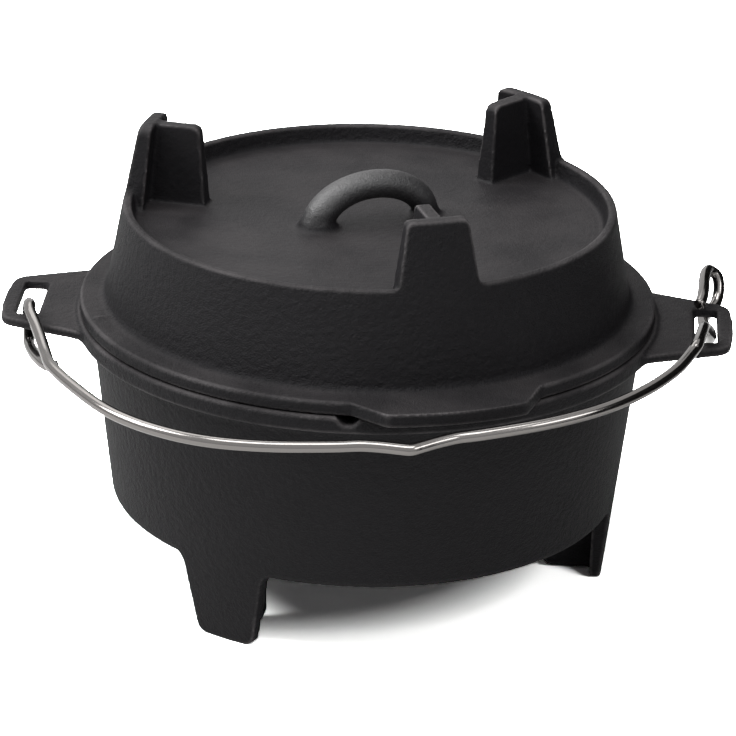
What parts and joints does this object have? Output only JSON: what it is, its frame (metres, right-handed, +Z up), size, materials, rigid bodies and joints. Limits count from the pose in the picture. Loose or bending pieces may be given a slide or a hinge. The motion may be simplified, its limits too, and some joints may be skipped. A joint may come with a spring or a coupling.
{
  "type": "cast iron dutch oven with legs",
  "caption": "Cast iron camping dutch oven: legged pot with flat ears, flanged lid with coal tray, legs and loop handle, and a bent wire bail.",
  "frame": {"origin": "middle of the footprint of the whole oven, on the surface that it stands on", "axes": "+Z up, ears along X, the front where the bow of the bail rests towards -Y"},
  "size_m": [0.3866, 0.3318, 0.2365],
  "materials": {
    "seasoned_iron": "sand-cast, seasoned, satin black",
    "stainless_wire": "drawn bright stainless wire"
  },
  "bodies": {
    "pot": {"pot": "seasoned_iron"},
    "lid": {"lid": "seasoned_iron", "lid_handle": "seasoned_iron"},
    "bail": {"bail": "stainless_wire"}
  },
  "joints": [
    {"name": "lid_lift", "type": "slide", "parent": "pot", "child": "lid", "axis": [0, 0, 1], "range_m": [0, 0.165]},
    {"name": "bail_swing", "type": "hinge", "parent": "pot", "child": "bail", "pos_m": [0, 0.01216, 0.1395], "axis": [-0.9861, -0.1662, 0], "range_deg": [0, 105]}
  ]
}
